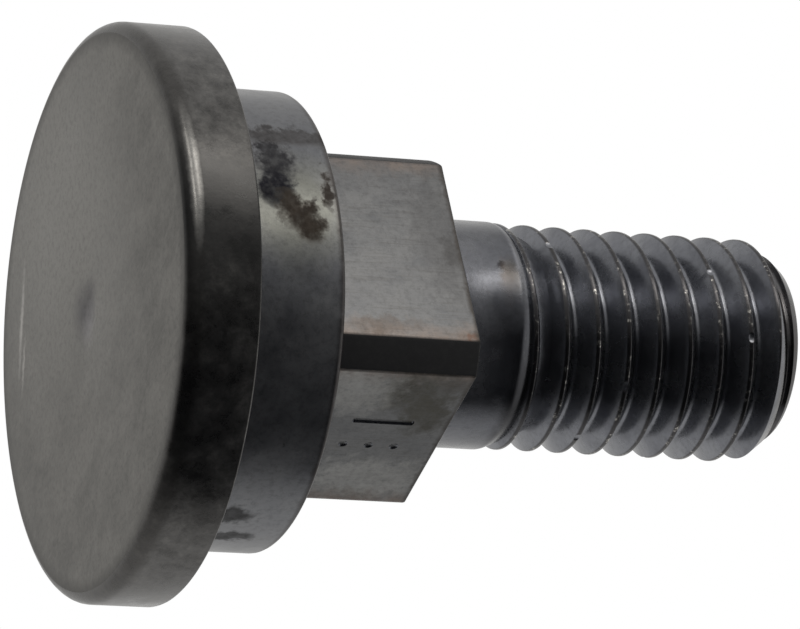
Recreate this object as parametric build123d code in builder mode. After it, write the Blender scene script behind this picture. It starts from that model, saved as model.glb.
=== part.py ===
from build123d import *
import os
from math import ceil, cos, radians, sin, tan

# A blade bolt, forged in one piece. It stands on its flat head with the thread pointing up.
# The origin is the centre of the head's outer face, and +Z runs along the bolt to the thread's tip.
# All sizes are millimetres, all angles are degrees.

# Driving dimensions, from the head to the tip
head_diameter = 30.0
head_thickness = 3.9
head_front_chamfer = 0.45
head_back_chamfer = 0.2
dimple_diameter = 2.2
dimple_depth = 0.12
collar_diameter = 24.0
collar_length = 5.6
collar_root_chamfer = 0.4
collar_edge_chamfer = 0.3
square_across_flats = 14.0
square_across_corners = 18.0
square_length = 8.6
shank_diameter = 12.0
shank_root_chamfer = 0.5
plain_shank_length = 3.55
thread_diameter = 11.9
thread_pitch = 1.75
thread_angle = 60.0
thread_runout_length = 2.5
thread_length = 16.25
end_chamfer_length = 1.55
end_face_diameter = 9.3
# The groove's path starts this far below the thread, where the shank hides its first turn.
groove_lead_in = 1.6
# The run-out cone goes on past the groove's root by this much, so that its end is buried in the rod.
runout_buried_depth = 0.4
# The rod's own seam line is turned away from the groove's start, so that the two never meet.
rod_seam_angle = 137.0

# Heights of the shoulders above the head's outer face
collar_base = head_thickness
square_base = collar_base + collar_length
shank_base = square_base + square_length
thread_base = shank_base + plain_shank_length
tip_height = thread_base + thread_length

# The standard thread profile: a crest flat of an eighth of the pitch and a root flat of a sixth.
thread_radius = thread_diameter / 2
crest_flat = thread_pitch / 8
root_flat = thread_pitch / 6
flank_angle = radians(thread_angle / 2)
root_radius = thread_radius - (thread_pitch - crest_flat - root_flat) / 2 / tan(flank_angle)

# The groove is cut a little past the crest, by less than would eat up the crest flat.
cutter_overshoot = crest_flat / 4
cutter_radius = thread_radius + cutter_overshoot / tan(flank_angle)
cutter_half_width = (thread_pitch - crest_flat) / 2 + cutter_overshoot
runout_base_radius = max(shank_diameter, thread_diameter) / 2
runout_slope = (runout_base_radius - root_radius) / thread_runout_length
runout_tip = thread_base + thread_runout_length + runout_buried_depth / runout_slope
groove_base = thread_base - groove_lead_in
groove_turns = ceil((tip_height - groove_base) / thread_pitch) + 1

seam = radians(rod_seam_angle)
rod_plane = Plane((0, 0, 0), x_dir=(cos(seam), sin(seam), 0), z_dir=(sin(seam), -cos(seam), 0))

# Threaded end: a rod with a chamfered tip and one helical groove
with BuildPart() as threaded_end:
    with BuildSketch(rod_plane) as rod_profile:
        with BuildLine() as rod_outline:
            Polyline(
                (0, thread_base),
                (thread_radius, thread_base),
                (thread_radius, tip_height - end_chamfer_length),
                (end_face_diameter / 2, tip_height),
                (0, tip_height),
                close=True,
            )
        make_face()
    revolve(axis=Axis.Z)

    # The path is a run of single turns, each of which starts where the last one ends.
    with BuildLine() as groove_path:
        for turn in range(groove_turns):
            Helix(thread_pitch, thread_pitch, thread_radius, center=(0, 0, groove_base + turn * thread_pitch))
    with BuildSketch(Plane.XZ) as groove_profile:
        with BuildLine() as groove_outline:
            Polyline(
                (cutter_radius, groove_base - cutter_half_width),
                (root_radius, groove_base - root_flat / 2),
                (root_radius, groove_base + root_flat / 2),
                (cutter_radius, groove_base + cutter_half_width),
                close=True,
            )
        make_face()
    sweep(path=groove_path.wires()[0], is_frenet=True, mode=Mode.SUBTRACT)


with BuildPart() as blade_bolt:
    # Turned form: flat head that carries the blade, collar that centres it, plain shank and, under
    # the thread, the run-out cone that the groove climbs from its full depth up to the shank
    with BuildSketch(rod_plane) as turned_profile:
        with BuildLine() as turned_outline:
            Polyline(
                (0, 0),
                (head_diameter / 2 - head_front_chamfer, 0),
                (head_diameter / 2, head_front_chamfer),
                (head_diameter / 2, collar_base - head_back_chamfer),
                (head_diameter / 2 - head_back_chamfer, collar_base),
                (collar_diameter / 2 + collar_root_chamfer, collar_base),
                (collar_diameter / 2, collar_base + collar_root_chamfer),
                (collar_diameter / 2, square_base - collar_edge_chamfer),
                (collar_diameter / 2 - collar_edge_chamfer, square_base),
                (0, square_base),
                close=True,
            )
        make_face()
        with BuildLine() as shank_outline:
            Polyline(
                (0, square_base),
                (shank_diameter / 2, square_base),
                (shank_diameter / 2, thread_base),
                (0, thread_base),
                close=True,
            )
        make_face()
        with BuildLine() as runout_outline:
            Polyline(
                (0, thread_base),
                (runout_base_radius, thread_base),
                (root_radius - runout_buried_depth, runout_tip),
                (0, runout_tip),
                close=True,
            )
        make_face()
        with BuildLine() as shank_root_outline:
            Polyline(
                (0, shank_base),
                (shank_diameter / 2 + shank_root_chamfer, shank_base),
                (shank_diameter / 2, shank_base + shank_root_chamfer),
                (0, shank_base + shank_root_chamfer),
                close=True,
            )
        make_face()
    revolve(axis=Axis.Z)

    # Square neck with turned corners, which keeps the bolt from turning
    with BuildSketch(Plane.XY.offset(square_base)) as square_outline:
        Rectangle(square_across_flats, square_across_flats)
        Circle(square_across_corners / 2, mode=Mode.INTERSECT)
    extrude(amount=square_length)

    add(threaded_end.part)

    # Shallow dimple left at the middle of the head's outer face
    with BuildSketch(Plane.XZ) as dimple_profile:
        with BuildLine() as dimple_outline:
            floor = Line((0, 0), (0, dimple_depth))
            dish = ThreePointArc(
                floor @ 1,
                (dimple_diameter / 4, dimple_depth * 3 / 4),
                (dimple_diameter / 2, 0),
            )
            Line(dish @ 1, floor @ 0)
        make_face()
    revolve(axis=Axis.Z, mode=Mode.SUBTRACT)

blade_bolt.part.label = "blade_bolt"

os.makedirs("parts", exist_ok=True)
export_step(blade_bolt.part, "parts/blade_bolt.step")
print("overall length", tip_height, "volume", round(blade_bolt.part.volume, 1), "valid", blade_bolt.part.is_valid)
print("thread root diameter", round(2 * root_radius, 3))
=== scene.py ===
# %% [markdown]
# # A blade bolt in black steel
#
# The object is one forged bolt that holds a round blade on a spindle. It stands on its flat head with
# the thread pointing up. This lesson models it again with finer forms than the plain solid has, gives
# each face its own finish and photographs it in a white light tent.
#
# The first cell loads the plain solid, which stays the frame: the new bolt has to fit inside its box.

from math import cos, pi, radians, sin, tan

import bmesh
import bpy
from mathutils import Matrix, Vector


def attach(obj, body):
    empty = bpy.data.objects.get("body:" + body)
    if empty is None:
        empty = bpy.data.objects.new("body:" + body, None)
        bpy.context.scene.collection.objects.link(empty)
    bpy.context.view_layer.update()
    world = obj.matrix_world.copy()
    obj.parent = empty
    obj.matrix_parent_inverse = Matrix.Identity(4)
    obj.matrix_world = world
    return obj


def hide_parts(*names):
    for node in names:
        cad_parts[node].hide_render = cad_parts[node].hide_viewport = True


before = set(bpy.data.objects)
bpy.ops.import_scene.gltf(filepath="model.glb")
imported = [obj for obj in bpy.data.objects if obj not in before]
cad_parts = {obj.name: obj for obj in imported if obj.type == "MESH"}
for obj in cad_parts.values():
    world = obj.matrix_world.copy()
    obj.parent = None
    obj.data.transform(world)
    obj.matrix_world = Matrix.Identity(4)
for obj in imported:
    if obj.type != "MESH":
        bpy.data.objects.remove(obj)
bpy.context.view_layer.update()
print("nodes in the frame:", list(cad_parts))

# %% [markdown]
# ## Sizes
#
# Blender works in metres and the bolt is measured in millimetres, so one name holds a millimetre. The
# sizes are the ones of the plain solid. Heights are measured from the head's outer face. All sizes and
# places below are in millimetres until that name turns them into metres.

# %% Name the sizes
MM = 0.001
HEAD_RADIUS = 15.0
HEAD_TOP = 3.9
COLLAR_RADIUS = 12.0
COLLAR_TOP = 9.5
NECK_HALF_WIDTH = 7.0
NECK_CORNER_RADIUS = 9.0
NECK_TOP = 18.1
SHANK_RADIUS = 6.0
THREAD_START = 21.65
THREAD_RADIUS = 5.95
PITCH = 1.75
RUNOUT_LENGTH = 2.5
TIP_TOP = 37.9
TIP_CHAMFER_LENGTH = 1.55
TIP_FACE_RADIUS = 4.7
print("the thread has", round((TIP_TOP - THREAD_START) / PITCH, 1), "turns")

# %% [markdown]
# ## A bar turned ring by ring
#
# Head, collar, shank and the blank of the thread are all round bars whose radius changes with height. A
# lathe makes them from one blank. Spinning a profile would do, but a filled circle that is extruded up
# and scaled, ring after ring, needs no merging at the seam and shows each shoulder as one step.
#
# An operator acts on everything that is selected, so each step starts by deselecting all.

# %% Helpers to start, select and finish a form
BAR_SIDES = 320
HEIGHT_TOLERANCE = 0.01
RADIUS_TOLERANCE = 0.02


def clear_selection():
    if bpy.context.object and bpy.context.object.mode != "OBJECT":
        bpy.ops.object.mode_set(mode="OBJECT")
    bpy.ops.object.select_all(action="DESELECT")


def pick(form):
    clear_selection()
    form.select_set(True)
    bpy.context.view_layer.objects.active = form


def edit(form):
    pick(form)
    bpy.ops.object.mode_set(mode="EDIT")


def select_parts(form, kind, wanted):
    """Selects the "verts", "edges" or "faces" for which wanted() is true, and counts them."""
    bpy.ops.mesh.select_mode(type={"verts": "VERT", "edges": "EDGE", "faces": "FACE"}[kind])
    bpy.ops.mesh.select_all(action="DESELECT")
    shape = bmesh.from_edit_mesh(form.data)
    for part in getattr(shape, kind):
        if wanted(part):
            part.select_set(True)
    shape.select_flush_mode()
    bmesh.update_edit_mesh(form.data)
    return sum(part.select for part in getattr(shape, kind))


def draw_up(rings):
    """Extrudes and scales the selected ring through a list of (radius, height)."""
    for (radius, height), (next_radius, next_height) in zip(rings, rings[1:]):
        bpy.ops.mesh.extrude_region_move(
            TRANSFORM_OT_translate={"value": (0, 0, (next_height - height) * MM)}
        )
        scale = next_radius / radius
        bpy.ops.transform.resize(value=(scale, scale, 1), center_override=(0, 0, 0))


def turned_bar(name, rings):
    """A closed bar round the Z axis through a list of (radius, height), left in edit mode."""
    clear_selection()
    radius, height = rings[0]
    bpy.ops.mesh.primitive_circle_add(
        vertices=BAR_SIDES, radius=radius * MM, fill_type="NGON", location=(0, 0, height * MM)
    )
    bar = bpy.context.object
    bar.name = name
    bpy.ops.object.transform_apply(location=True, rotation=True, scale=True)
    bpy.ops.object.mode_set(mode="EDIT")
    bpy.ops.mesh.select_all(action="SELECT")
    draw_up(rings)
    bpy.ops.mesh.select_all(action="SELECT")
    bpy.ops.mesh.normals_make_consistent(inside=False)
    return bar


def round_rings(bar, radius, height, width, steps):
    """Rounds the edges of the ring at this radius and height."""

    def near_ring(point):
        level = abs(point.co.z - height * MM) < HEIGHT_TOLERANCE * MM
        return level and abs(point.co.xy.length - radius * MM) < RADIUS_TOLERANCE * MM

    def on_ring(edge):
        return all(near_ring(end) for end in edge.verts)

    select_parts(bar, "edges", on_ring)
    bpy.ops.mesh.bevel(offset=width * MM, segments=steps, affect="EDGES")


def cut_or_join(form, tool, operation):
    """Applies a Boolean modifier with the tool, then deletes the tool."""
    pick(form)
    modifier = form.modifiers.new(operation.lower(), "BOOLEAN")
    modifier.operation = operation
    modifier.solver = "EXACT"
    modifier.object = tool
    bpy.ops.object.modifier_apply(modifier=modifier.name)
    bpy.data.objects.remove(tool, do_unlink=True)
    print(form.name, operation.lower(), "->", len(form.data.polygons), "faces")


# %% [markdown]
# ## Head and collar
#
# The head is a flat disc that presses the blade down, and the collar behind it centres the blade. On
# the real bolt both are turned, with a softened front edge, a tighter back edge and a small fillet where
# the collar stands on the head. Four rings give the form, and each ring of edges is then rounded with
# its own bevel.

# %% Turn the head and collar
FRONT_ROUND = 0.75
BACK_ROUND = 0.12
COLLAR_FILLET = 0.4
COLLAR_ROUND = 0.28
head_rings = [
    (HEAD_RADIUS, 0.0),
    (HEAD_RADIUS, HEAD_TOP),
    (COLLAR_RADIUS, HEAD_TOP),
    (COLLAR_RADIUS, COLLAR_TOP),
]
head = turned_bar("head", head_rings)
round_rings(head, HEAD_RADIUS, 0.0, FRONT_ROUND, steps=8)
round_rings(head, HEAD_RADIUS, HEAD_TOP, BACK_ROUND, steps=3)
round_rings(head, COLLAR_RADIUS, HEAD_TOP, COLLAR_FILLET, steps=5)
round_rings(head, COLLAR_RADIUS, COLLAR_TOP, COLLAR_ROUND, steps=5)

# %% [markdown]
# The lathe's centre left a shallow dimple in the middle of the outer face. The face is drawn in towards
# the axis and pushed up a little, ring by ring, which dishes it without a crease.

# %% Dish the dimple
DIMPLE_RINGS = [(1.1, 0.0), (0.95, 0.022), (0.7, 0.06), (0.4, 0.1), (0.15, 0.12)]
LEVEL_TOLERANCE = 0.001


def is_outer_face(face):
    return len(face.verts) == BAR_SIDES and face.calc_center_median().z < LEVEL_TOLERANCE * MM


select_parts(head, "faces", is_outer_face)
draw_up([(HEAD_RADIUS - FRONT_ROUND, 0.0), *DIMPLE_RINGS])
bpy.ops.object.mode_set(mode="OBJECT")
print("head and collar:", len(head.data.polygons), "faces")

# %% [markdown]
# ## Square neck
#
# The neck sits in a square hole and keeps the bolt from turning. The real one is a round boss with four
# flats, so its corners are still parts of the turned surface. The same order works here: a cylinder is
# cut by four planes with the Bisect tool, and then its sharp edges get a small round.

# %% Cut the flats
NECK_SIDES = 240
NECK_BURIED = 0.3
NECK_ROUND = 0.13
SHARP_NECK_EDGE = radians(25)
neck_length = NECK_TOP - COLLAR_TOP + NECK_BURIED
clear_selection()
bpy.ops.mesh.primitive_cylinder_add(
    vertices=NECK_SIDES,
    radius=NECK_CORNER_RADIUS * MM,
    depth=neck_length * MM,
    location=(0, 0, (NECK_TOP - neck_length / 2) * MM),
)
neck = bpy.context.object
neck.name = "neck"
bpy.ops.object.transform_apply(location=True, rotation=True, scale=True)
bpy.ops.object.mode_set(mode="EDIT")
for quarter in range(4):
    outward = Vector((cos(quarter * pi / 2), sin(quarter * pi / 2), 0))
    bpy.ops.mesh.select_all(action="SELECT")
    bpy.ops.mesh.bisect(
        plane_co=outward * NECK_HALF_WIDTH * MM, plane_no=outward, use_fill=True, clear_outer=True
    )
select_parts(neck, "edges", lambda edge: edge.calc_face_angle(0) > SHARP_NECK_EDGE)
bpy.ops.mesh.bevel(offset=NECK_ROUND * MM, segments=3, affect="EDGES")
bpy.ops.object.mode_set(mode="OBJECT")
print("neck:", len(neck.data.polygons), "faces")

# %% [markdown]
# ## Shank and run-out
#
# Above the neck comes a short plain shank with a fillet at its root. The thread's groove climbs out of
# the steel along a shallow cone, the run-out, so the core under the thread is that cone. Its end goes a
# little deeper than the groove's root and is buried in the thread.
#
# The fillet is drawn with one ring in the middle of its quarter circle, and a bevel rounds that ring. For
# a radius of 1 the middle is 0.293 from the corner each way. The fillet's foot goes on at the same slope,
# 2.414 out for 1 down, to a little below the neck's end, so that no two faces share a plane.

# %% Turn the core
THREAD_DEPTH_TO_ROOT = 1.0735
ROOT_RADIUS = THREAD_RADIUS - THREAD_DEPTH_TO_ROOT
RUNOUT_BURIED = 0.4
runout_slope = (SHANK_RADIUS - ROOT_RADIUS) / RUNOUT_LENGTH
runout_end = THREAD_START + RUNOUT_LENGTH + RUNOUT_BURIED / runout_slope
CORE_BURIED = 1.0
FILLET = 0.5
FILLET_BURIED = 0.05
FOOT_SLOPE = 2.414
ARC_MIDDLE = 0.293
FILLET_ROUND = 0.12
RUNOUT_ROUND = 0.15
fillet_middle = ARC_MIDDLE * FILLET
core_rings = [
    (SHANK_RADIUS, NECK_TOP - CORE_BURIED),
    (SHANK_RADIUS + FILLET + FOOT_SLOPE * FILLET_BURIED, NECK_TOP - FILLET_BURIED),
    (SHANK_RADIUS + fillet_middle, NECK_TOP + fillet_middle),
    (SHANK_RADIUS, NECK_TOP + FILLET),
    (SHANK_RADIUS, THREAD_START),
    (ROOT_RADIUS - RUNOUT_BURIED, runout_end),
]
core = turned_bar("core", core_rings)
round_rings(core, SHANK_RADIUS + fillet_middle, NECK_TOP + fillet_middle, FILLET_ROUND, steps=3)
round_rings(core, SHANK_RADIUS, THREAD_START, RUNOUT_ROUND, steps=3)
bpy.ops.object.mode_set(mode="OBJECT")
print("core:", len(core.data.polygons), "faces")

# %% [markdown]
# ## Thread
#
# The thread is rolled: its roots are smooth and round, and its crests are narrow flats with slightly
# rounded edges. One pitch of the profile is drawn as a chain of edges, from the middle of one crest over
# the groove to the next. The Screw modifier carries it round the axis and up by one pitch a turn, so
# that the end of each turn is the start of the next one. A vertex bevel rounds the root and the crest's
# edges.

# %% Draw one pitch of the profile
GROOVE_BASE = 18.3
FLANK_ANGLE = 30
crest_half = PITCH / 16
sharp_depth = (PITCH / 2 - crest_half) / tan(radians(FLANK_ANGLE))
corner_points = [
    (THREAD_RADIUS, -PITCH / 2),
    (THREAD_RADIUS, -PITCH / 2 + crest_half),
    (THREAD_RADIUS - sharp_depth, 0.0),
    (THREAD_RADIUS, PITCH / 2 - crest_half),
    (THREAD_RADIUS, PITCH / 2),
]
clear_selection()
bpy.ops.mesh.primitive_plane_add(size=MM)
thread = bpy.context.object
thread.name = "thread"
bpy.ops.object.mode_set(mode="EDIT")
bpy.ops.mesh.select_mode(type="VERT")
bpy.ops.mesh.select_all(action="SELECT")
bpy.ops.mesh.merge(type="CENTER")
bpy.ops.mesh.select_all(action="SELECT")
radius, height = corner_points[0]
bpy.ops.transform.translate(value=(radius * MM, 0, (GROOVE_BASE + height) * MM))
for (radius, height), (next_radius, next_height) in zip(corner_points, corner_points[1:]):
    step = ((next_radius - radius) * MM, 0, (next_height - height) * MM)
    bpy.ops.mesh.extrude_region_move(TRANSFORM_OT_translate={"value": step})
print("profile corners:", len(corner_points))

# %% [markdown]
# The root's round touches both flanks, and the crest's edges get a much smaller one.

# %% Round the profile's corners
ROOT_ROUND = 0.4377
CREST_ROUND = 0.06


def round_corner(height, width, steps):
    """Rounds the profile's corner at this height from the middle of the groove."""
    level = (GROOVE_BASE + height) * MM
    select_parts(thread, "verts", lambda corner: abs(corner.co.z - level) < HEIGHT_TOLERANCE * MM)
    bpy.ops.mesh.bevel(offset=width * MM, segments=steps, affect="VERTICES")


crest_edge = PITCH / 2 - crest_half
round_corner(0.0, ROOT_ROUND, steps=10)
round_corner(-crest_edge, CREST_ROUND, steps=3)
round_corner(crest_edge, CREST_ROUND, steps=3)
bpy.ops.object.mode_set(mode="OBJECT")
profile_radii = [vertex.co.x / MM for vertex in thread.data.vertices]
print("profile:", len(profile_radii), "points, root radius", round(min(profile_radii), 3))

# %% [markdown]
# The Screw modifier is applied, and the two torn ends of the helix are cut off square and filled, which
# makes a closed rod. The Bisect tool takes points within its threshold as lying on the plane. Its usual
# tenth of a millimetre would leave this fine mesh open, so the threshold is set far smaller.

# %% Carry the profile round the axis
TURNS = 12
STEPS_A_TURN = 144
SCREW_MERGE = 0.0005
POINT_MERGE = 0.002
CUT_THRESHOLD = 0.0001
ROD_BOTTOM = THREAD_START - 1.2
ROD_TOP = TIP_TOP + 0.4
screw = thread.modifiers.new("screw", "SCREW")
screw.axis = "Z"
screw.angle = 2 * pi
screw.screw_offset = PITCH * MM
screw.iterations = TURNS
screw.steps = STEPS_A_TURN
screw.render_steps = STEPS_A_TURN
screw.use_merge_vertices = True
screw.merge_threshold = SCREW_MERGE * MM
pick(thread)
bpy.ops.object.modifier_apply(modifier=screw.name)
bpy.ops.object.mode_set(mode="EDIT")
bpy.ops.mesh.select_all(action="SELECT")
bpy.ops.mesh.remove_doubles(threshold=POINT_MERGE * MM)
for height, direction in ((ROD_BOTTOM, -1), (ROD_TOP, 1)):
    bpy.ops.mesh.select_all(action="SELECT")
    bpy.ops.mesh.bisect(
        plane_co=(0, 0, height * MM),
        plane_no=(0, 0, direction),
        use_fill=True,
        clear_outer=True,
        threshold=CUT_THRESHOLD * MM,
    )
bpy.ops.mesh.select_all(action="SELECT")
bpy.ops.mesh.normals_make_consistent(inside=False)
bpy.ops.object.mode_set(mode="OBJECT")
print("thread:", len(thread.data.polygons), "faces")

# %% [markdown]
# ## End of the thread
#
# The end is chamfered, so that the first turn starts with a thin edge and a nut finds it easily. A
# turned blank with that chamfer is made, and what thread and blank share is kept.

# %% Chamfer the end
BLANK_RADIUS = THREAD_RADIUS + 0.4
TIP_ROUND = 0.07
chamfer_slope = (THREAD_RADIUS - TIP_FACE_RADIUS) / TIP_CHAMFER_LENGTH
blank_rings = [
    (BLANK_RADIUS, ROD_BOTTOM - 1),
    (BLANK_RADIUS, TIP_TOP - (BLANK_RADIUS - TIP_FACE_RADIUS) / chamfer_slope),
    (TIP_FACE_RADIUS, TIP_TOP),
]
blank = turned_bar("blank", blank_rings)
round_rings(blank, TIP_FACE_RADIUS, TIP_TOP, TIP_ROUND, steps=3)
bpy.ops.object.mode_set(mode="OBJECT")
cut_or_join(thread, blank, "INTERSECT")

# %% [markdown]
# ## One forged piece
#
# The real bolt is one piece of steel, so the four forms become one closed mesh. Head, neck and core
# come first, because the marks are cut into simple forms before the fine thread joins them.

# %% Join head, neck and core
cut_or_join(head, neck, "UNION")
cut_or_join(head, core, "UNION")
bolt = head
bolt.name = "bolt"

# %% [markdown]
# One flat of the neck carries a plain stamped mark, a bar with a row of three punched dots beside it.
# The stamp's teeth are a rod and small balls that are sunk a little into the flat. They are joined to
# one tool, so that one Boolean presses them all in.

# %% Stamp the flat
def in_metres(place):
    return tuple(side * MM for side in place)


def ball(place, radius):
    clear_selection()
    bpy.ops.mesh.primitive_uv_sphere_add(
        segments=24, ring_count=12, radius=radius * MM, location=in_metres(place)
    )
    bpy.ops.object.transform_apply(location=True, rotation=True, scale=True)
    return bpy.context.object


def join_forms(forms):
    clear_selection()
    for form in forms:
        form.select_set(True)
    bpy.context.view_layer.objects.active = forms[0]
    bpy.ops.object.join()
    return bpy.context.object


STAMP_DEPTH = 0.12
STAMP_FLOOR = NECK_HALF_WIDTH - STAMP_DEPTH
BAR_RADIUS = 0.24
BAR_LENGTH = 3.4
BAR_ACROSS = -1.4
BAR_HEIGHT = 14.4
BAR_END_ROUND = 0.14
SHARP_BAR_EDGE = radians(60)
DOT_RADIUS = 0.33
DOTS_ACROSS = 0.7
DOT_HEIGHTS = (12.9, 14.3, 15.7)
clear_selection()
bpy.ops.mesh.primitive_cylinder_add(
    vertices=32,
    radius=BAR_RADIUS * MM,
    depth=BAR_LENGTH * MM,
    location=in_metres((STAMP_FLOOR + BAR_RADIUS, BAR_ACROSS, BAR_HEIGHT)),
)
bar = bpy.context.object
bpy.ops.object.transform_apply(location=True, rotation=True, scale=True)
edit(bar)
select_parts(bar, "edges", lambda edge: edge.calc_face_angle(0) > SHARP_BAR_EDGE)
bpy.ops.mesh.bevel(offset=BAR_END_ROUND * MM, segments=4, affect="EDGES")
dots = [
    ball((STAMP_FLOOR + DOT_RADIUS, DOTS_ACROSS, dot_height), DOT_RADIUS) for dot_height in DOT_HEIGHTS
]
cut_or_join(bolt, join_forms([bar, *dots]), "DIFFERENCE")

# %% [markdown]
# The bolt has been used, so the crests of its thread have small nicks. Each is the bite of a ball, at a
# number of turns above the first groove and an angle round the axis.

# %% Nick the crests
# Turns above the first groove, angle in degrees, radius of the ball
NICKS = [
    (3.5, -109, 0.5),
    (4.5, 5, 0.6),
    (5.5, -31, 0.7),
    (6.5, 96, 0.8),
    (8.5, -96, 0.5),
    (4.5, 150, 0.7),
    (9.5, -60, 0.5),
    (7.5, 40, 0.6),
]
NICK_DEPTH = 0.1
bites = []
for turns, angle, ball_radius in NICKS:
    out = THREAD_RADIUS + ball_radius - NICK_DEPTH
    turned = radians(angle)
    height = GROOVE_BASE + PITCH * (turns + angle / 360)
    bites.append(ball((out * cos(turned), out * sin(turned), height), ball_radius))
cut_or_join(thread, join_forms(bites), "DIFFERENCE")

# %% [markdown]
# The thread joins last, and the whole bolt is one closed mesh. An open edge would be a hole in it.

# %% Join the thread
cut_or_join(bolt, thread, "UNION")
shape = bmesh.new()
shape.from_mesh(bolt.data)
print("open edges:", sum(not edge.is_manifold for edge in shape.edges))
print("volume in mm3:", round(shape.calc_volume() / MM**3, 1))
shape.free()

# %% [markdown]
# ## Steel finishes
#
# The bolt is black oxide steel. Each finish is a small tree of nodes. One helper adds a node with its
# values, and the others name what is done often. Patterns read Object coordinates, in metres.

# %% Node helpers
def add_node(tree, kind, inputs=None, **settings):
    """Adds a node. An input takes another node's output or a value, and a colour is three numbers."""
    node = tree.nodes.new(kind)
    for key, value in settings.items():
        setattr(node, key, value)
    for key, value in (inputs or {}).items():
        socket = node.inputs[key]
        if isinstance(value, bpy.types.NodeSocket):
            tree.links.new(value, socket)
        elif socket.type == "RGBA":
            socket.default_value = (*value, 1)
        else:
            socket.default_value = value
    return node


def number_of(tree, operation, *values):
    return add_node(tree, "ShaderNodeMath", dict(enumerate(values)), operation=operation).outputs[0]


def multiply(tree, first, second):
    return number_of(tree, "MULTIPLY", first, second)


def larger(tree, first, second):
    return number_of(tree, "MAXIMUM", first, second)


def vector_of(tree, operation, output, *values):
    node = add_node(tree, "ShaderNodeVectorMath", dict(enumerate(values)), operation=operation)
    return node.outputs[output]


def spread(tree, value, low, high, new_low, new_high, interpolation="LINEAR"):
    """Maps a value's range to another one, clamped at both ends."""
    node = add_node(
        tree,
        "ShaderNodeMapRange",
        {"Value": value, "From Min": low, "From Max": high, "To Min": new_low, "To Max": new_high},
        interpolation_type=interpolation,
    )
    return node.outputs["Result"]


def blend_colours(tree, factor, first, second):
    """The first colour where the factor is 0 and the second where it is 1."""
    return add_node(tree, "ShaderNodeMix", {0: factor, 6: first, 7: second}, data_type="RGBA").outputs[2]


def ramp(tree, factor, stops):
    """A colour ramp from a list of (position, colour)."""
    node = add_node(tree, "ShaderNodeValToRGB", {"Fac": factor})
    elements = node.color_ramp.elements
    while len(elements) < len(stops):
        elements.new(0.5)
    for element, (position, colour) in zip(elements, stops):
        element.position = position
        element.color = (*colour, 1)
    return node.outputs["Color"]


def noise(tree, place, size, stretch=(1, 1, 1), turn=0.0, detail=4.0, rough=0.6):
    """Noise with features of about the given size in mm, drawn out along an axis by stretch."""
    mapping = add_node(
        tree,
        "ShaderNodeMapping",
        {
            "Vector": place,
            "Rotation": (0, 0, turn),
            "Scale": tuple(1 / (size * MM * factor) for factor in stretch),
        },
    )
    node = add_node(
        tree,
        "ShaderNodeTexNoise",
        {"Vector": mapping.outputs["Vector"], "Scale": 1.0, "Detail": detail, "Roughness": rough},
    )
    return node.outputs["Fac"]


def bump(tree, height, depth):
    """Bump with the given depth in mm."""
    node = add_node(tree, "ShaderNodeBump", {"Height": height, "Strength": 1.0, "Distance": depth * MM})
    return node.outputs["Normal"]


# %% [markdown]
# Stains and wear, and the patches of painted shade and painted highlight, sit at a place of their own.
# Each is a soft spot round a point, and a noise pushes the point's surroundings about, so that its edge
# is ragged. Distance from the bolt's axis finds worn crests and corners, and height finds edges.

# %% Helpers for places
def shaken(tree, place, size, reach):
    """The place, pushed about by noise with features of the given size, by up to the reach, in mm."""
    mapping = add_node(tree, "ShaderNodeMapping", {"Vector": place, "Scale": (1 / (size * MM),) * 3})
    push = add_node(
        tree,
        "ShaderNodeTexNoise",
        {"Vector": mapping.outputs["Vector"], "Scale": 1.0, "Detail": 4.0, "Roughness": 0.65},
    )
    centred = vector_of(tree, "SUBTRACT", "Vector", push.outputs["Color"], (0.5, 0.5, 0.5))
    scaled = add_node(
        tree, "ShaderNodeVectorMath", {0: centred, "Scale": 2 * reach * MM}, operation="SCALE"
    )
    return vector_of(tree, "ADD", "Vector", place, scaled.outputs["Vector"])


def spot(tree, place, centre, radius, softness=0.5, stretch=(1, 1, 1), turn=0.0):
    """1 inside a spot round the centre and 0 outside, with sizes in mm."""
    inside = add_node(
        tree,
        "ShaderNodeMapping",
        {
            "Vector": place,
            "Location": in_metres(centre),
            "Rotation": (0, 0, turn),
            "Scale": tuple(factor * radius * MM for factor in stretch),
        },
        vector_type="TEXTURE",
    )
    distance = vector_of(tree, "LENGTH", "Value", inside.outputs["Vector"])
    return spread(tree, distance, 1 - softness, 1 + softness, 1.0, 0.0)


def axis_distance(tree, place):
    return vector_of(tree, "LENGTH", "Value", vector_of(tree, "MULTIPLY", "Vector", place, (1, 1, 0)))


def height_of(tree, place):
    return add_node(tree, "ShaderNodeSeparateXYZ", {"Vector": place}).outputs["Z"]


def between(tree, distance, none, full, share=1.0):
    """0 at one distance in mm and the share at the other."""
    return spread(tree, distance, none * MM, full * MM, 0.0, share)


# %% [markdown]
# A few things are the same in all finishes: the oxide's metallic shader, fine dark grains in the colour
# and roughness that follows a pattern. Gaps torn in a mask let a stain look dried on.

# %% Helpers for oxide and stains
METALLIC = 0.96
EDGE_TINT = 0.8
GRAIN_COLOUR = (0.03, 0.03, 0.03)


def new_finish(name):
    finish = bpy.data.materials.new(name)
    finish.use_nodes = True
    tree = finish.node_tree
    shader = tree.nodes["Principled BSDF"]
    shader.inputs["Metallic"].default_value = METALLIC
    shader.inputs["Specular Tint"].default_value = (EDGE_TINT, EDGE_TINT, EDGE_TINT, 1)
    place = add_node(tree, "ShaderNodeTexCoord").outputs["Object"]
    return finish, tree, shader, place


def connect(tree, shader, colour, roughness, normal):
    tree.links.new(colour, shader.inputs["Base Color"])
    tree.links.new(roughness, shader.inputs["Roughness"])
    tree.links.new(normal, shader.inputs["Normal"])


def speckled(tree, place, colour, strength):
    """The colour with fine dark grains in it."""
    grains = spread(tree, noise(tree, place, 0.35, detail=3.0, rough=0.8), 0.46, 0.68, 0.0, strength)
    return blend_colours(tree, grains, colour, GRAIN_COLOUR)


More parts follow.
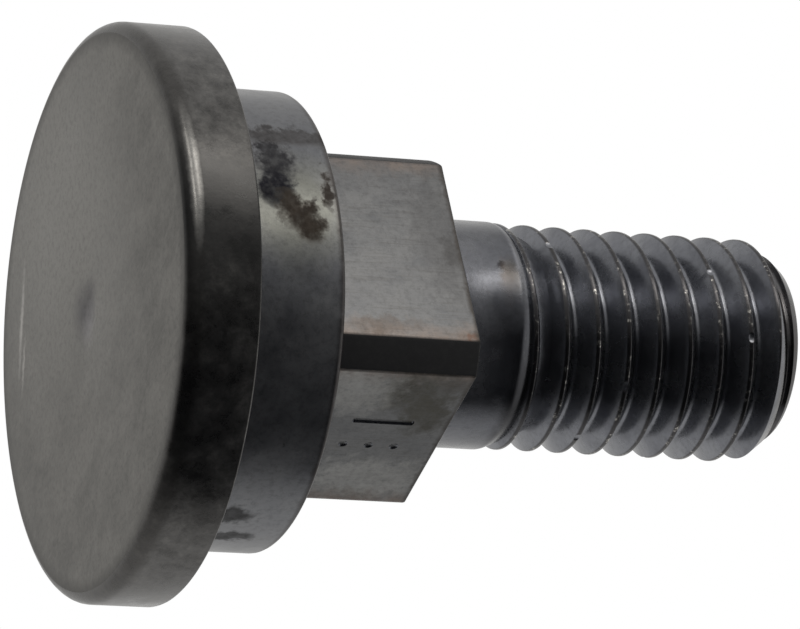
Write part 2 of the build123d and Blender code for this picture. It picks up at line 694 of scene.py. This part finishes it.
def rough_by(tree, pattern, smoothest, roughest):
    """Roughness between two values, by a pattern."""
    return spread(tree, pattern, 0.3, 0.7, smoothest, roughest)


def rougher(tree, roughness, mask, extra):
    """The roughness with some more where the mask is 1."""
    return number_of(tree, "MULTIPLY_ADD", mask, extra, roughness)


def grained(tree, place, size, depth):
    """The bump of a fine grain, with both sizes in mm."""
    return bump(tree, noise(tree, place, size, detail=3.0), depth)


def broken_up(tree, place, mask, size):
    """The mask with gaps torn in it by noise, most of all where it is weak."""
    cover = number_of(tree, "ADD", mask, noise(tree, place, size))
    thin = spread(tree, noise(tree, place, 0.8 * size, rough=0.7), 0.38, 0.6, 0.75, 1.0)
    return multiply(tree, spread(tree, cover, 0.72, 1.2, 0.0, 1.0), thin)


def laid_over(tree, colour, mask, strength, patch_colour):
    """The colour with another laid over it where the mask is 1: stains and wear, painted shade and
    painted highlights.
    """
    return blend_colours(tree, multiply(tree, mask, strength), colour, patch_colour)


# %% [markdown]
# Black oxide is a thin layer over the steel, a dark metal with a soft gloss. On the head's rim it is
# almost black and mottled. A large noise makes it patchy and a fine one gives it grain. The front edge is
# dull and dark. One spot of it is rubbed lighter and carries a painted highlight where the edge catches
# the lamp, and a large soft patch of painted shade darkens one side of the rim.

# %% Black rim
RIM_BLACKS = [
    (0.32, (0.05, 0.049, 0.048)),
    (0.55, (0.095, 0.093, 0.091)),
    (0.75, (0.16, 0.156, 0.15)),
]
RIM_EDGE_COLOUR = (0.042, 0.04, 0.038)
RIM_SHADE_COLOUR = (0.02, 0.02, 0.02)
RIM_RUBBED_HIGHLIGHT_COLOUR = (0.2, 0.197, 0.19)
rim_finish, tree, shader, place = new_finish("black rim")
mottle = noise(tree, shaken(tree, place, 2.0, 0.6), 1.6, detail=6.0, rough=0.7)
colour = ramp(tree, mottle, RIM_BLACKS)
front_edge = between(tree, height_of(tree, shaken(tree, place, 0.8, 0.12)), 1.1, 0.7, 0.55)
colour = blend_colours(tree, front_edge, colour, RIM_EDGE_COLOUR)
# Painted shade: a large soft dark patch on one side of the rim.
painted_rim_shade = spot(tree, shaken(tree, place, 2.0, 1.2), (4.0, -14.4, 3.0), 4.2, 0.6, (1, 1, 2))
colour = laid_over(tree, colour, painted_rim_shade, 0.85, RIM_SHADE_COLOUR)
# Painted highlight on a rubbed spot of the front edge, where the edge catches the lamp.
rubbed_and_lit = spot(tree, shaken(tree, place, 0.6, 0.12), (2.3, -14.8, 0.62), 1.0, 0.5, (3.4, 1.5, 0.26))
colour = laid_over(tree, colour, rubbed_and_lit, 0.75, RIM_RUBBED_HIGHLIGHT_COLOUR)
connect(
    tree,
    shader,
    speckled(tree, place, colour, 0.35),
    rough_by(tree, mottle, 0.22, 0.38),
    grained(tree, place, 0.22, 0.005),
)
print("finish:", rim_finish.name)

# %% [markdown]
# On the collar the layer is bluish and smoother. The blade has worn one patch of it to a plain grey, and
# blue-black and brown stains are left round that patch's upper edge. The collar is darker along its far
# edge. The stains are duller than the steel, so they add roughness too.

# %% Stained collar
COLLAR_BLUES = [(0.3, (0.1, 0.103, 0.113)), (0.7, (0.165, 0.168, 0.175))]
COLLAR_WORN_COLOUR = (0.098, 0.1, 0.092)
COLLAR_FAR_EDGE_COLOUR = (0.035, 0.03, 0.028)
# Centre, radius, stretch, colour
COLLAR_STAINS = [
    ((-1.3, -11.9, 6.3), 0.95, (1.5, 1, 1.0), (0.034, 0.034, 0.038)),
    ((0.6, -12.0, 6.1), 0.95, (1, 1, 1.0), (0.015, 0.015, 0.02)),
    ((-3.1, -11.6, 7.6), 0.9, (0.7, 1, 3.2), (0.07, 0.068, 0.07)),
    ((1.5, -11.9, 6.8), 0.7, (1.1, 1, 1), (0.044, 0.037, 0.031)),
    ((2.1, -11.8, 7.3), 0.75, (1.1, 1, 1.1), (0.038, 0.031, 0.026)),
    ((2.8, -11.7, 7.7), 0.65, (1.1, 1, 1), (0.04, 0.033, 0.027)),
    ((0.5, -12.0, 8.9), 0.4, (2.6, 1, 0.8), (0.05, 0.043, 0.038)),
    ((11.9, 0.5, 5.4), 0.6, (1, 1.2, 2.4), (0.1, 0.1, 0.103)),
    ((11.6, 2.8, 6.2), 0.5, (1, 1.0, 3.0), (0.1, 0.1, 0.103)),
]
collar_finish, tree, shader, place = new_finish("stained collar")
patches = noise(tree, shaken(tree, place, 3.0, 1.0), 3.5, detail=5.0)
colour = ramp(tree, patches, COLLAR_BLUES)
worn = spot(tree, shaken(tree, place, 1.5, 0.8), (1.6, -11.8, 6.9), 2.9, 0.4)
colour = blend_colours(tree, worn, colour, COLLAR_WORN_COLOUR)
ragged = shaken(tree, place, 0.7, 0.75)
stained = 0.0
for centre, radius, stretch, patch_colour in COLLAR_STAINS:
    mask = broken_up(tree, place, spot(tree, ragged, centre, radius, 0.7, stretch), 0.7)
    stained = larger(tree, stained, mask)
    colour = blend_colours(tree, mask, colour, patch_colour)
near_far_edge = between(tree, height_of(tree, shaken(tree, place, 0.8, 0.15)), 9.05, 9.35, 0.85)
on_side = between(tree, axis_distance(tree, ragged), 11.2, 11.8)
colour = laid_over(tree, colour, near_far_edge, on_side, COLLAR_FAR_EDGE_COLOUR)
connect(
    tree,
    shader,
    speckled(tree, place, colour, 0.3),
    rougher(tree, rough_by(tree, patches, 0.27, 0.42), stained, 0.4),
    grained(tree, place, 0.3, 0.004),
)
print("finish:", collar_finish.name, "with", len(COLLAR_STAINS), "stains")

# %% [markdown]
# The outer face of the head has rubbed against other parts. The oxide is worn to a plain grey with fine
# scratches that run mostly one way, and the dimple has kept some dirt. Towards the edge the face is
# darker, because nothing has rubbed it there. A large rubbed patch lightens one side of the face, and
# that lighter side is also painted light.

# %% Worn grey for the head's outer face
SCRATCH_TURN = radians(-36)
FACE_GREYS = [(0.4, (0.104, 0.101, 0.094)), (0.6, (0.188, 0.183, 0.172))]
DARK_SCRATCH_COLOUR = (0.07, 0.068, 0.066)
LIGHT_SCRATCH_COLOUR = (0.25, 0.245, 0.238)
FACE_RUBBED_LIGHT_COLOUR = (0.25, 0.245, 0.232)
FACE_EDGE_COLOUR = (0.05, 0.048, 0.046)
# Centre, radius, stretch, colour, strength
FACE_MARKS = [
    ((-0.7, 0.9, 0.0), 0.95, (1, 1, 5), (0.045, 0.043, 0.054), 0.6),
    ((-0.9, -0.5, 0.0), 0.6, (1, 1, 5), (0.05, 0.047, 0.055), 0.5),
    ((0.4, 0.5, 0.0), 0.6, (1.4, 1, 5), (0.3, 0.29, 0.31), 0.35),
    ((-6.3, 9.4, 0.0), 0.28, (7.0, 0.6, 5), (0.6, 0.58, 0.56), 0.5),
    ((-4.0, 10.2, 0.0), 0.25, (4.0, 0.5, 5), (0.5, 0.48, 0.46), 0.5),
]
worn_face, tree, shader, place = new_finish("worn face")
scratches = noise(tree, place, 0.1, (1, 14, 1), SCRATCH_TURN, 4.0, 0.7)
patches = noise(tree, shaken(tree, place, 2.5, 1.0), 4.5, (1, 1.6, 1), SCRATCH_TURN, 9.0, 0.78)
colour = ramp(tree, patches, FACE_GREYS)
dark_scratch = spread(tree, scratches, 0.45, 0.25, 0.0, 0.3)
colour = blend_colours(tree, dark_scratch, colour, DARK_SCRATCH_COLOUR)
light_scratch = spread(tree, scratches, 0.56, 0.78, 0.0, 0.4)
colour = blend_colours(tree, light_scratch, colour, LIGHT_SCRATCH_COLOUR)
# Painted light: one side of the face is made lighter, laid on as a large rubbed patch.
rubbed_and_lit = spot(tree, shaken(tree, place, 4.0, 2.0), (-7.5, 1.5, 0.0), 8.0, 0.6)
colour = laid_over(tree, colour, rubbed_and_lit, 0.65, FACE_RUBBED_LIGHT_COLOUR)
dirt = shaken(tree, place, 0.6, 0.25)
for centre, radius, stretch, mark_colour, strength in FACE_MARKS:
    mask = spot(tree, dirt, centre, radius, 0.9, stretch, -SCRATCH_TURN)
    colour = laid_over(tree, colour, mask, strength, mark_colour)
near_edge = between(tree, axis_distance(tree, shaken(tree, place, 1.2, 0.25)), 13.6, 14.5, 0.7)
colour = blend_colours(tree, near_edge, colour, FACE_EDGE_COLOUR)
connect(
    tree,
    shader,
    speckled(tree, place, colour, 0.3),
    rough_by(tree, patches, 0.42, 0.58),
    bump(tree, scratches, 0.004),
)
print("finish:", worn_face.name)

# %% [markdown]
# The flats of the neck were shaved along the bolt, which left fine grooves in that direction. Their
# edges are rubbed lighter and have turned a little brown, and smears of dirt lie on them. Painted shade
# darkens the flats towards the neck's far end and over the far part of one flat, and two patches of
# one flat are lighter.

# %% Grooved steel for the neck's flats
NECK_GREYS = [(0.33, (0.08, 0.082, 0.086)), (0.67, (0.138, 0.139, 0.141))]
GROOVE_COLOUR = (0.075, 0.073, 0.071)
NECK_BROWN = (0.15, 0.115, 0.095)
NECK_END_SHADE_COLOUR = (0.04, 0.036, 0.033)
# Centre, radius, stretch, colour, strength
NECK_STAINS_AND_SHADE = [
    ((7.0, -4.0, 15.3), 1.5, (1, 1, 1.3), (0.045, 0.043, 0.036), 0.9),
    ((7.0, -2.2, 16.6), 1.2, (1, 1.2, 1), (0.045, 0.043, 0.036), 0.9),
    ((7.0, -4.9, 17.4), 0.8, (1, 1, 1), (0.05, 0.045, 0.04), 0.6),
    ((7.0, 5.2, 14.9), 0.8, (1, 0.7, 1.5), (0.07, 0.05, 0.04), 0.7),
    ((0.2, -7.0, 17.5), 0.7, (1.4, 1, 0.8), (0.04, 0.038, 0.036), 0.7),
    ((5.0, -7.0, 12.8), 0.7, (0.7, 1, 2.4), (0.07, 0.055, 0.045), 0.5),
    ((-4.6, -7.0, 13.5), 1.2, (1, 1, 2.2), (0.09, 0.091, 0.095), 0.4),
    ((5.4, -7.0, 17.8), 0.4, (1, 1, 1), (0.1, 0.06, 0.045), 0.9),
    # Painted shade over the far part of the -Y flat.
    ((-1.0, -7.0, 17.2), 2.2, (1.7, 1, 0.7), (0.06, 0.06, 0.062), 0.5),
    # The last two entries only lighten two patches of the +X flat.
    ((7.0, -4.0, 12.0), 1.7, (1, 1, 1.2), (0.22, 0.22, 0.214), 0.7),
    ((7.0, 3.6, 15.2), 1.6, (1, 1, 2.0), (0.22, 0.22, 0.214), 0.7),
]
grooved, tree, shader, place = new_finish("grooved flats")
grooves = noise(tree, place, 0.11, (1, 1, 22), detail=3.0)
patches = noise(tree, shaken(tree, place, 1.6, 0.7), 1.8, (1, 1, 1.4), detail=6.0, rough=0.65)
colour = ramp(tree, patches, NECK_GREYS)
dark_groove = spread(tree, grooves, 0.46, 0.28, 0.0, 0.5)
colour = blend_colours(tree, dark_groove, colour, GROOVE_COLOUR)
near_corner = between(tree, axis_distance(tree, shaken(tree, place, 1.0, 0.7)), 8.3, 8.95)
colour = laid_over(tree, colour, near_corner, patches, NECK_BROWN)
smears_and_shade = shaken(tree, place, 0.9, 1.0)
for centre, radius, stretch, patch_colour, strength in NECK_STAINS_AND_SHADE:
    mask = broken_up(tree, place, spot(tree, smears_and_shade, centre, radius, 0.8, stretch), 0.6)
    colour = laid_over(tree, colour, mask, strength, patch_colour)
# Painted shade: the flats darken towards the neck's far end, where its end face turns away from the
# light.
near_end = between(tree, height_of(tree, shaken(tree, place, 0.8, 0.3)), 17.75, 18.0, 0.9)
colour = blend_colours(tree, near_end, colour, NECK_END_SHADE_COLOUR)
connect(
    tree,
    shader,
    speckled(tree, place, colour, 0.3),
    rough_by(tree, patches, 0.36, 0.52),
    bump(tree, grooves, 0.004),
)
print("finish:", grooved.name)

# %% [markdown]
# Shank and thread are blue-grey oxide, and the tip is darker and a little brown. The crests of the
# thread are rubbed by the nut: their edges are dark with a few bright glints. Stains lie on the shank,
# and a band of painted shade darkens one side of the run-out's start. The neck's turned corners have a
# dull dark scale, so that part of this finish is darker, rougher and less metallic.

# %% Blue-grey thread
THREAD_BLUES = [(0.3, (0.11, 0.114, 0.13)), (0.7, (0.185, 0.191, 0.208))]
CREST_COLOUR = (0.042, 0.041, 0.043)
GLINT_COLOUR = (0.5, 0.485, 0.455)
SHANK_COLOUR = (0.03, 0.031, 0.036)
TIP_COLOUR = (0.045, 0.04, 0.036)
SCALE_COLOUR = (0.015, 0.015, 0.016)
SCALE_METALLIC = 0.6
# Centre, radius, stretch, colour, strength
SHANK_STAINS_AND_SHADE = [
    ((-0.1, -6.0, 20.7), 0.22, (1, 1, 1), (0.02, 0.02, 0.024), 1.0),
    ((0.9, -5.9, 20.9), 0.6, (2.0, 1, 0.6), (0.085, 0.072, 0.062), 0.75),
    ((0.6, -6.0, 21.3), 0.45, (2.6, 1, 0.8), (0.05, 0.045, 0.04), 0.7),
    ((2.1, -5.6, 20.7), 1.3, (1.1, 1, 0.8), (0.04, 0.042, 0.048), 0.85),
    # Painted shade: a wide flat band that darkens one side of the run-out's start.
    ((5.9, -1.2, 21.9), 4.4, (1, 1, 0.13), (0.035, 0.035, 0.038), 0.85),
]
thread_finish, tree, shader, place = new_finish("blue-grey thread")
patches = noise(tree, shaken(tree, place, 2.0, 0.6), 2.2, detail=5.0)
colour = ramp(tree, patches, THREAD_BLUES)
height = height_of(tree, place)
out_from_axis = axis_distance(tree, place)
on_crest = multiply(
    tree,
    between(tree, out_from_axis, 5.88, 5.94),
    between(tree, height, THREAD_START, THREAD_START + 0.5),
)
glint = multiply(
    tree,
    spread(tree, noise(tree, place, 0.3, detail=5.0, rough=0.75), 0.56, 0.66, 0.0, 1.0),
    spread(tree, noise(tree, place, 1.8, detail=2.0), 0.45, 0.6, 0.1, 1.0),
)
crest_colour = blend_colours(tree, glint, CREST_COLOUR, GLINT_COLOUR)
colour = blend_colours(tree, on_crest, colour, crest_colour)
on_shank = between(tree, height, THREAD_START, THREAD_START - 0.2, 0.42)
colour = blend_colours(tree, on_shank, colour, SHANK_COLOUR)
on_tip = between(tree, height_of(tree, shaken(tree, place, 0.6, 0.3)), 36.5, 37.0, 0.85)
tip_patches = spread(tree, patches, 0.35, 0.65, 1.0, 0.65)
colour = laid_over(tree, colour, on_tip, tip_patches, TIP_COLOUR)
shank_dirt_and_shade = shaken(tree, place, 0.5, 0.35)
for centre, radius, stretch, patch_colour, strength in SHANK_STAINS_AND_SHADE:
    mask = spot(tree, shank_dirt_and_shade, centre, radius, 0.45, stretch)
    colour = laid_over(tree, colour, mask, strength, patch_colour)
on_corner = between(tree, out_from_axis, 8.5, 8.7)
colour = blend_colours(tree, on_corner, colour, SCALE_COLOUR)
connect(
    tree,
    shader,
    speckled(tree, place, colour, 0.25),
    rougher(tree, rough_by(tree, patches, 0.2, 0.32), on_corner, 0.35),
    grained(tree, place, 0.25, 0.004),
)
tree.links.new(spread(tree, on_corner, 0.0, 1.0, METALLIC, SCALE_METALLIC), shader.inputs["Metallic"])
print("finish:", thread_finish.name)

# %% [markdown]
# Each face gets its finish by its place and the way it looks. The thread's finish comes first in the
# list, so every face has it until another one is given out.

# %% Give out the finishes
DISHED_HEIGHT = 0.15
FACING_DOWN = 0.98
FACING_OUT = 0.9
for finish in (thread_finish, rim_finish, collar_finish, worn_face, grooved):
    bolt.data.materials.append(finish)


def on_rim(face):
    return face.calc_center_median().z < (HEAD_TOP + LEVEL_TOLERANCE) * MM


def on_collar(face):
    return HEAD_TOP * MM < face.calc_center_median().z < (COLLAR_TOP + LEVEL_TOLERANCE) * MM


def on_head_face(face):
    return face.normal.z < -FACING_DOWN and face.calc_center_median().z < DISHED_HEIGHT * MM


def on_neck_flat(face):
    on_neck = COLLAR_TOP * MM < face.calc_center_median().z < NECK_TOP * MM
    return on_neck and max(abs(face.normal.x), abs(face.normal.y)) > FACING_OUT


edit(bolt)
for slot_number, wanted in ((1, on_rim), (2, on_collar), (3, on_head_face), (4, on_neck_flat)):
    count = select_parts(bolt, "faces", wanted)
    bolt.active_material_index = slot_number
    bpy.ops.object.material_slot_assign()
    print(bolt.data.materials[slot_number].name, "on", count, "faces")

# %% [markdown]
# Smooth shading hides the facets of round forms, and edges sharper than the angle stay sharp. Round the
# stamped marks every edge is marked as sharp, so that the flat looks flat right up to them.

# %% Shade the bolt
SMOOTH_ANGLE = radians(32)
IN_STAMPED_FLAT = 0.9999
pick(bolt)
bpy.ops.object.shade_smooth_by_angle(angle=SMOOTH_ANGLE)


def is_round_a_mark(edge):
    on_flat = [face.normal.x > IN_STAMPED_FLAT for face in edge.link_faces]
    return any(on_flat) and not all(on_flat)


edit(bolt)
count = select_parts(bolt, "edges", is_round_a_mark)
bpy.ops.mesh.mark_sharp()
clear_selection()
print("sharp edges round the marks:", count)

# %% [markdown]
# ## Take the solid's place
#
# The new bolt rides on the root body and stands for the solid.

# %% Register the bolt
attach(bolt, "root")
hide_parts("blade_bolt")
print("registered:", bolt.name)

# %% [markdown]
# ## Light tent
#
# Dark steel shows little but what it mirrors. The tent has a white ceiling and three white walls, and
# the open slot between the walls, where the camera looks in, shows as a dark band along the middle of
# every round form. The world is that tent for glossy rays and an even pale light for all others. The
# camera sees it white.

# %% Build the tent
# Direction of the middle, then the cosines from it at which the white starts and is full
WALLS = [
    ((-0.807, -0.590, 0.0), -0.05, 0.95),
    ((0.226, 0.963, 0.0), 0.45, 0.85),
    ((-0.609, 0.794, 0.0), 0.0, 0.7),
    ((0.0, 0.0, 1.0), 0.6, 0.95),
]
WALL_COLOUR = (1.0, 0.99, 0.97)
SLOT_COLOUR = (0.01, 0.011, 0.014)
PLAIN_LEVEL = 0.75
world = bpy.data.worlds.new("light tent")
bpy.context.scene.world = world
world.use_nodes = True
world.cycles.sampling_method = "NONE"
tree = world.node_tree
direction = add_node(tree, "ShaderNodeTexCoord").outputs["Generated"]
white_share = 0.0
for middle, start, full in WALLS:
    facing = vector_of(tree, "DOT_PRODUCT", "Value", direction, Vector(middle).normalized())
    white_share = larger(tree, white_share, spread(tree, facing, start, full, 0.0, 1.0, "SMOOTHSTEP"))
tent = blend_colours(tree, white_share, SLOT_COLOUR, WALL_COLOUR)
ray = add_node(tree, "ShaderNodeLightPath").outputs
lighting = blend_colours(tree, ray["Is Glossy Ray"], (PLAIN_LEVEL,) * 3, tent)
seen_white = larger(tree, ray["Is Camera Ray"], ray["Is Transmission Ray"])
sky = blend_colours(tree, seen_white, lighting, (1, 1, 1))
tree.links.new(sky, tree.nodes["Background"].inputs["Color"])
print("the tent has", len(WALLS), "white sides")

# %% [markdown]
# Three soft lamps join it, all a little warm. The large one hangs above and gives the bolt its shadow on
# the floor. A smaller one puts a bright streak along one side of every round form, and the smallest one
# a thin glint on the head's front edge.

# %% Hang the lamps
LAMP_COLOUR = (1.0, 0.96, 0.9)
LAMP_AIM = Vector((0, 0, 0.018))


def soft_lamp(name, direction, distance, width, height, energy):
    clear_selection()
    way = Vector(direction).normalized()
    bpy.ops.object.light_add(type="AREA", location=LAMP_AIM + way * distance)
    lamp = bpy.context.object
    lamp.name = name
    lamp.data.shape = "RECTANGLE"
    lamp.data.size = width
    lamp.data.size_y = height
    lamp.data.energy = energy
    lamp.data.color = LAMP_COLOUR
    lamp.rotation_euler = way.to_track_quat("Z", "Y").to_euler()
    lamp.visible_camera = False


soft_lamp("large lamp", (-0.6, -0.3, 0.75), distance=1.0, width=0.6, height=0.6, energy=0.6)
soft_lamp("streak lamp", (-0.367, -0.854, 0.369), distance=0.9, width=0.27, height=0.52, energy=2.3)
soft_lamp("edge lamp", (-0.368, -0.837, -0.28), distance=0.9, width=0.5, height=0.14, energy=1.0)

# %% [markdown]
# The floor is a plain pale sheet that carries the bolt's shadow. The photograph looks at the head's
# outer face, which stands on the floor, so from below the floor lets everything through. It lies a hair
# below the bolt, so that floor and face never share a plane.

# %% Lay the floor
FLOOR_SIZE = 2.0
FLOOR_GAP = 0.02
FLOOR_GREY = 0.82
FLOOR_ROUGHNESS = 0.9
clear_selection()
bpy.ops.mesh.primitive_plane_add(size=FLOOR_SIZE, location=(0, 0, -FLOOR_GAP * MM))
floor = bpy.context.object
floor.name = "floor"
bpy.ops.object.transform_apply(location=True, rotation=True, scale=True)
sheet = bpy.data.materials.new("floor sheet")
sheet.use_nodes = True
tree = sheet.node_tree
pale = tree.nodes["Principled BSDF"]
pale.inputs["Base Color"].default_value = (FLOOR_GREY, FLOOR_GREY, FLOOR_GREY, 1)
pale.inputs["Roughness"].default_value = FLOOR_ROUGHNESS
clear = add_node(tree, "ShaderNodeBsdfTransparent")
seen_from_below = add_node(tree, "ShaderNodeNewGeometry").outputs["Backfacing"]
seen_from_above = number_of(tree, "SUBTRACT", 1.0, seen_from_below)
seen_by_camera = add_node(tree, "ShaderNodeLightPath").outputs["Is Camera Ray"]
shown = multiply(tree, seen_by_camera, seen_from_above)
sheet_mix = add_node(
    tree, "ShaderNodeMixShader", {0: shown, 1: clear.outputs["BSDF"], 2: pale.outputs["BSDF"]}
)
tree.links.new(sheet_mix.outputs["Shader"], tree.nodes["Material Output"].inputs["Surface"])
floor.data.materials.append(sheet)
print("the floor is", floor.name)

# %% [markdown]
# ## Camera
#
# The photograph is taken from the head's side, with the bolt lying across the picture. Place, turn and
# lens were worked out from the outlines of head, collar and neck.

# %% Place the camera
CAMERA_PLACE = (0.183983, -0.241468, -0.101416)
CAMERA_TURN = (-171.084, -68.407, -62.111)
FOCAL_LENGTH = 280.18
SENSOR_WIDTH = 36.0
NEAREST_SEEN = 0.01
clear_selection()
bpy.ops.object.camera_add(location=CAMERA_PLACE)
camera = bpy.context.object
camera.name = "camera"
camera.rotation_euler = tuple(radians(angle) for angle in CAMERA_TURN)
camera.data.lens = FOCAL_LENGTH
camera.data.sensor_width = SENSOR_WIDTH
camera.data.clip_start = NEAREST_SEEN
bpy.context.scene.camera = camera
bpy.context.scene.view_settings.view_transform = "Standard"
print("camera at", [round(side, 3) for side in camera.location])
